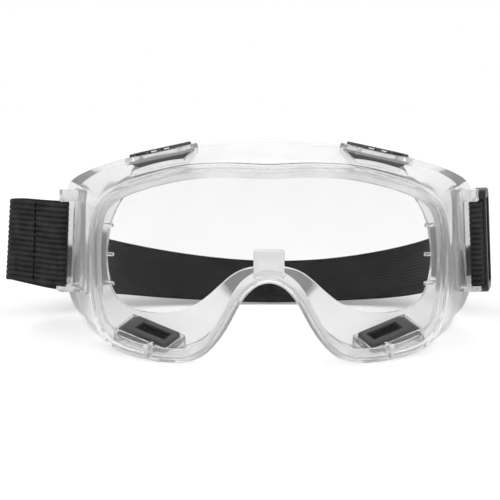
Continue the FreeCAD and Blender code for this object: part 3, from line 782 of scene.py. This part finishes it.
def make_frame():
    piece = make_piece("moulded_frame", frame_shell(), CLEAR_PVC)
    additions = []
    cuts = []
    boss_length = VENT_LENGTH + 2 * BOSS_WALL
    boss_width = VENT_WIDTH + 2 * BOSS_WALL
    tray_width = WINDOW_WIDTH + 2 * TRAY_WALL + 2 * PLAY
    for vent in VENTS.values():
        seat = vent_axes(vent)
        reach = vent[-1]
        boss = block_mesh(boss_length, boss_width, -BOSS_DEPTH, reach, seat, BOSS_ROUND, floor=PLAY)
        additions.append(behind_lens(boss))
        cuts.append(block_mesh(VENT_LENGTH + 2 * PLAY, VENT_WIDTH + 2 * PLAY, 0, CUT_TOP, seat))
        cuts.append(block_mesh(WINDOW_LENGTH, WINDOW_WIDTH, WINDOW_LOW, WINDOW_HIGH, seat))
        cuts.append(block_mesh(VENT_LENGTH + 2 * PLAY, tray_width, TRAY_LOW, -VENT_SEAT, seat))
    for place in CLIPS.values():
        clip = clip_axes(place)
        seat_length = CLIP_LENGTH + CLIP_SEAT_MARGIN
        seat_width = CLIP_WIDTH + CLIP_SEAT_MARGIN
        additions.append(block_mesh(seat_length, seat_width, -CLIP_SEAT_DEPTH, 0, clip, CLIP_SEAT_ROUND))
        cuts.append(block_mesh(CLIP_LENGTH + 2 * PLAY, CLIP_WIDTH + 2 * PLAY, 0, CUT_TOP, clip))
    additions.append(block_mesh(placement=Matrix.Translation(NOSE_TAB_PLACE), **NOSE_TAB))
    additions.append(block_mesh(placement=Matrix.Translation(NOSE_PAD_PLACE), **NOSE_PAD))
    for side in (-1, 1):
        stem = stud_axes(side) @ Matrix.Translation(STUD_STEM_PLACE)
        additions.append(block_mesh(placement=stem, **STUD_STEM))
        additions.append(stud_head(side))
        for height in TOOTH_HEIGHTS:
            tooth = tooth_axes(side, height) @ Matrix.Translation((TOOTH_SHIFT * side, -TOOTH_PROUD, 0))
            additions.append(block_mesh(placement=tooth, **TOOTH))
    combine(piece, additions, "UNION")
    combine(piece, cuts, "DIFFERENCE")
    piece.data.materials.append(FROSTED_PVC)
    for polygon in piece.data.polygons:
        if abs(polygon.center.x) < TAB_HALF_WIDTH * MM and TAB_LOW * MM < polygon.center.z < TAB_HIGH * MM:
            polygon.material_index = 1
    smooth_by_angle(piece.data, FRAME_SMOOTH_ANGLE)
    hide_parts("frame")


# ---------------------------------------------------------------- lens
# Faces whose normal is at least this close to the cylinder's belong to its front or back.
ROUND_FACE = 0.96


def make_lens():
    """Copy of the lens with the exact normals of its cylinder, so that it reflects smoothly."""
    mesh = frame["nodes"]["lens"].data.copy()
    work = bmesh.new()
    work.from_mesh(mesh)
    bmesh.ops.remove_doubles(work, verts=work.verts, dist=WELD)
    work.to_mesh(mesh)
    work.free()
    piece = make_piece("lens_sheet", mesh, CLEAR_LENS)
    normals = []
    for polygon in mesh.polygons:
        polygon.use_smooth = True
        for loop in polygon.loop_indices:
            point = mesh.vertices[mesh.loops[loop].vertex_index].co
            radial = Vector((point.x, point.y - LENS_R * MM, 0)).normalized()
            side = radial.dot(polygon.normal)
            exact = radial * math.copysign(1, side)
            normals.append(exact if abs(side) > ROUND_FACE else polygon.normal.copy())
    mesh.normals_split_custom_set(normals)
    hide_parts("lens")


# ---------------------------------------------------------------- headband
STRAP_W = 38.0
STRAP_T = 1.6
STRAP_Z = 45.9
BEND_R = 2.1
RIB_COUNT = round(STRAP_W * MM / RIB_PITCH)
RIB_DEPTH = 0.34
RIB_SAMPLES = 6
RUN_LENGTH = 40.0
TAIL_LENGTH = 25.0
SEAM = 15.0
SEWN_OFFSET = 1.03
SEAM_MARGIN = 3
CLOSING_STOP = (6, 1.9)
RUN_PARTS = (1, 0.9, 0.75, 0.5, 0.25, 0)
TAIL_STOPS = (0, 10, RUN_LENGTH / 2, RUN_LENGTH - 3)
RIGHT_ANGLE = 13.5
LEFT_ANGLE = -55.6
BEND_STEPS = 12
LOOP_STEPS = 3
BAND_STEPS = 6
BAND_SMOOTH_ANGLE = 50
# Middle of the free band from the left end to the right one: x, y, height, lean in degrees.
BAND_STOPS = (
    (-121.0, 73, 45.3, -4),
    (-123.0, 84, 43.8, -5),
    (-123.8, 97, 41.0, -2),
    (-121.5, 112, 36.8, 6),
    (-114.5, 127.5, 31.2, 19),
    (-101.5, 141.5, 25.8, 34),
    (-84, 153, 20.8, 47),
    (-58, 162, 15.4, 56),
    (-29, 167, 11.6, 62),
    (0, 168.5, 9.9, 64),
    (30, 167.5, 11.0, 63),
    (58, 161.5, 14.8, 56),
    (79, 151, 20.4, 45),
    (93, 137, 27.6, 31),
    (101, 121, 35.0, 15),
    (104.4, 105, 41.4, 1),
)


class StrapEnd:
    """Axes of the ribbon at a bracket: along it, across it and outward, from the middle of the bar."""

    def __init__(self, side, angle):
        clip = clip_axes(CLIPS[side])
        across = clip.to_3x3() @ Vector((1, 0, 0))
        self.up = across if across.z > 0 else -across
        turn = math.radians(angle)
        self.way = Vector((math.sin(turn), math.cos(turn), 0))
        self.out = self.way.cross(self.up).normalized() * (1 if side == "right" else -1)
        self.middle = clip @ Vector((0, CLIP_FORWARD, BAR_HEIGHT)) - self.up * (CLIP_HEIGHT - STRAP_Z)

    def stop(self, distance, offset):
        return self.middle + self.way * distance + self.out * offset, self.up

    def bend(self):
        """Half turn round the front of the bar, from the outer layer to the inner one."""
        angles = [math.pi * step / BEND_STEPS for step in range(1, BEND_STEPS)]
        return [self.stop(-BEND_R * math.sin(angle), BEND_R * math.cos(angle)) for angle in angles]


RIGHT_END = StrapEnd("right", RIGHT_ANGLE)
LEFT_END = StrapEnd("left", LEFT_ANGLE)


def free_stop(before, here, after):
    """Point and across direction of the ribbon; a positive lean tips its top edge outward."""
    x, y, z, lean = here
    way = Vector((after[0] - before[0], after[1] - before[1], 0)).normalized()
    outward = Vector((-way.y, way.x, 0))
    tilt = math.radians(lean)
    return Vector((x, y, z)), Vector((0, 0, math.cos(tilt))) + outward * math.sin(tilt)


def smooth_route(stops, steps):
    """Adds points between stops along a smooth curve, for the places and the across directions."""
    values = np.array([[*place, *up] for place, up in stops])
    padded = np.vstack([2 * values[0] - values[1], values, 2 * values[-1] - values[-2]])
    route = []
    for i in range(1, len(padded) - 2):
        p0, p1, p2, p3 = padded[i - 1:i + 3]
        for step in range(steps):
            t = step / steps
            bend = (2 * p0 - 5 * p1 + 4 * p2 - p3) * t**2 + (3 * p1 - p0 - 3 * p2 + p3) * t**3
            route.append(p1 + ((p2 - p0) * t + bend) / 2)
    route.append(padded[-2])
    return [(Vector(v[:3]), Vector(v[3:]).normalized()) for v in route]


def strap_route():
    """Middle line of the ribbon from its sewn end, round both bars, to its free tail."""
    near = [(0, BEND_R), CLOSING_STOP, (SEAM - SEAM_MARGIN, SEWN_OFFSET)]
    sewn_tail = [LEFT_END.stop(TAIL_LENGTH, SEWN_OFFSET), LEFT_END.stop(SEAM + SEAM_MARGIN, SEWN_OFFSET)]
    sewn_tail += [LEFT_END.stop(distance, offset) for distance, offset in reversed(near)]
    band_start = [LEFT_END.stop(distance, -offset) for distance, offset in near]
    band_start.append(LEFT_END.stop(TAIL_LENGTH + 1, -SEWN_OFFSET))
    ends = [tuple(band_start[-1][0])] + list(BAND_STOPS) + [tuple(RIGHT_END.stop(RUN_LENGTH, BEND_R)[0])]
    band = [free_stop(*ends[i - 1:i + 2]) for i in range(1, len(ends) - 1)]
    run = [RIGHT_END.stop(RUN_LENGTH * part, BEND_R) for part in RUN_PARTS]
    tail = [RIGHT_END.stop(distance, -BEND_R) for distance in TAIL_STOPS]
    route = smooth_route(sewn_tail, LOOP_STEPS) + LEFT_END.bend()
    route += smooth_route(band_start[:3], LOOP_STEPS)[:-1]
    route += smooth_route(band_start[2:] + band + run[:2], BAND_STEPS)
    return route + run[2:] + RIGHT_END.bend() + tail


def ribbon_profile():
    """Place across the ribbon and half thickness: ribs on both faces and thin selvedges."""
    samples = []
    count = RIB_COUNT * RIB_SAMPLES
    for i in range(count + 1):
        rib = abs(math.sin(math.pi * i / RIB_SAMPLES))
        thickness = STRAP_T / 2 - RIB_DEPTH * (1 - rib)
        samples.append((STRAP_W * (i / count - 0.5), thickness))
    return samples


def make_headband():
    """Sweeps the ribbed profile along the route, with the place along and across the band as its UVs."""
    route = strap_route()
    profile = ribbon_profile()
    places = np.array([tuple(place) for place, _ in route])
    ups = np.array([tuple(up) for _, up in route])
    ways = np.gradient(places, axis=0)
    ways[:, 2] = 0
    ways /= np.linalg.norm(ways, axis=1)[:, None]
    normals = np.cross(ways, ups)
    normals /= np.linalg.norm(normals, axis=1)[:, None]
    run = np.concatenate([[0], np.cumsum(np.linalg.norm(np.diff(places, axis=0), axis=1))])
    across = np.array([a for a, _ in profile] + [a for a, _ in reversed(profile)])
    thick = np.array([t for _, t in profile] + [-t for _, t in reversed(profile)])
    points = places[:, None] + ups[:, None] * across[None, :, None] + normals[:, None] * thick[None, :, None]
    rows, columns = points.shape[:2]
    faces = grid_faces(rows, columns, False, True)
    half = columns // 2
    for base in (0, (rows - 1) * columns):
        last = base + columns - 1
        faces += [(base + j, base + j + 1, last - 1 - j, last - j) for j in range(half - 1)]
    mesh = mesh_from("headband_ribbon", points.reshape(-1, 3) * MM, faces)
    uv = mesh.uv_layers.new(name="band").data
    for loop in mesh.loops:
        row, column = divmod(loop.vertex_index, columns)
        uv[loop.index].uv = (run[row] * MM, (across[column] + STRAP_W / 2) * MM)
    piece = make_piece("headband_ribbon", mesh, ELASTIC)
    smooth_by_angle(mesh, BAND_SMOOTH_ANGLE)
    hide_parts("headband")


# ---------------------------------------------------------------- pieces
# Width of the rounded edges, in metres.
VENT_ROUND = 0.00025
FOAM_ROUND = 0.0003
CLIP_ROUND = 0.0005
SLIDER_ROUND = 0.0004
THREAD_ROUND = 0.0001

make_frame()
make_lens()
for corner in CORNERS:
    softened("vent_cap_" + corner, VENT_PLASTIC, VENT_ROUND)
    softened("vent_tray_" + corner, VENT_PLASTIC, VENT_ROUND)
    softened("vent_foam_" + corner, FOAM, FOAM_ROUND)
for side_name in ("right", "left"):
    softened("strap_bracket_" + side_name, CLEAR_CLIP, CLIP_ROUND)
softened("strap_slider", SLIDER_PLASTIC, SLIDER_ROUND, body="slider")
make_headband()
for stitches in ("loop_stitching", "tail_stitching"):
    softened(stitches, THREAD, THREAD_ROUND)


# ---------------------------------------------------------------- studio
LIGHT_TARGET = Vector((0, 0.04, 0.05))
FLOOR_HALF = 3.0
FLOOR_GREY = 0.93
FLOOR_GLOW = 0.22
SIDE_SHADE = ((0.45, (1, 1, 1)), (0.85, (0.5, 0.5, 0.5)))
CAMERA_DISTANCE = 0.55
CAMERA_TILT = 8
CAMERA_TARGET = Vector((0, 0, 0.0495))


def add_area(name, location, size, power):
    light = bpy.data.lights.new(name, "AREA")
    light.shape = "RECTANGLE"
    light.size, light.size_y = size
    light.energy = power
    lamp = bpy.data.objects.new(name, light)
    lamp.location = location
    lamp.rotation_euler = (LIGHT_TARGET - Vector(location)).to_track_quat("-Z", "Y").to_euler()
    bpy.context.scene.collection.objects.link(lamp)


def add_floor():
    material, tree, shader, _ = new_material("studio_white")
    shader.inputs["Base Color"].default_value = (FLOOR_GREY, FLOOR_GREY, FLOOR_GREY, 1)
    shader.inputs["Roughness"].default_value = 0.9
    shader.inputs["Specular IOR Level"].default_value = 0.1
    shader.inputs["Emission Color"].default_value = (1, 1, 1, 1)
    shader.inputs["Emission Strength"].default_value = FLOOR_GLOW
    quarters = ((-1, -1), (1, -1), (1, 1), (-1, 1))
    mesh = bpy.data.meshes.new("floor")
    mesh.from_pydata([(x * FLOOR_HALF, y * FLOOR_HALF, 0) for x, y in quarters], [], [(0, 1, 2, 3)])
    mesh.materials.append(material)
    floor = bpy.data.objects.new("floor", mesh)
    bpy.context.scene.collection.objects.link(floor)


def add_world():
    """White backdrop, with greyer light from the sides that draws the edges of clear parts."""
    world = bpy.data.worlds.new("studio")
    world.use_nodes = True
    tree = world.node_tree
    background = tree.nodes["Background"]
    background.inputs["Strength"].default_value = 1.0
    place = tree.nodes.new("ShaderNodeTexCoord")
    split = tree.nodes.new("ShaderNodeSeparateXYZ")
    size = tree.nodes.new("ShaderNodeMath")
    size.operation = "ABSOLUTE"
    tree.links.new(place.outputs["Generated"], split.inputs["Vector"])
    tree.links.new(split.outputs["X"], size.inputs[0])
    tree.links.new(ramp(tree, size.outputs[0], SIDE_SHADE), background.inputs["Color"])
    backdrop = tree.nodes.new("ShaderNodeBackground")
    backdrop.inputs["Color"].default_value = (1, 1, 1, 1)
    path = tree.nodes.new("ShaderNodeLightPath")
    mix = tree.nodes.new("ShaderNodeMixShader")
    tree.links.new(path.outputs["Is Camera Ray"], mix.inputs["Fac"])
    tree.links.new(background.outputs["Background"], mix.inputs[1])
    tree.links.new(backdrop.outputs["Background"], mix.inputs[2])
    tree.links.new(mix.outputs["Shader"], tree.nodes["World Output"].inputs["Surface"])
    bpy.context.scene.world = world


def add_camera():
    tilt = math.radians(CAMERA_TILT)
    offset = Vector((0, -CAMERA_DISTANCE * math.cos(tilt), CAMERA_DISTANCE * math.sin(tilt)))
    camera = bpy.data.cameras.new("camera")
    camera.sensor_width = 36
    camera.lens = 95.83
    camera.shift_x = -0.038
    camera.shift_y = 0.004
    camera.clip_start = 0.01
    holder = bpy.data.objects.new("camera", camera)
    holder.location = CAMERA_TARGET + offset
    holder.rotation_euler = (math.pi / 2 - tilt, 0, 0)
    bpy.context.scene.collection.objects.link(holder)
    bpy.context.scene.camera = holder


add_floor()
add_world()
add_area("key", location=(-0.5, -0.6, 0.9), size=(0.5, 0.5), power=1.6)
add_area("fill", location=(0.6, -0.5, 0.6), size=(0.4, 0.6), power=1.1)
add_camera()
scene = bpy.context.scene
scene.view_settings.view_transform = "Standard"
scene.cycles.max_bounces = 24
scene.cycles.transmission_bounces = 20
scene.cycles.transparent_max_bounces = 24
scene.cycles.use_denoising = True
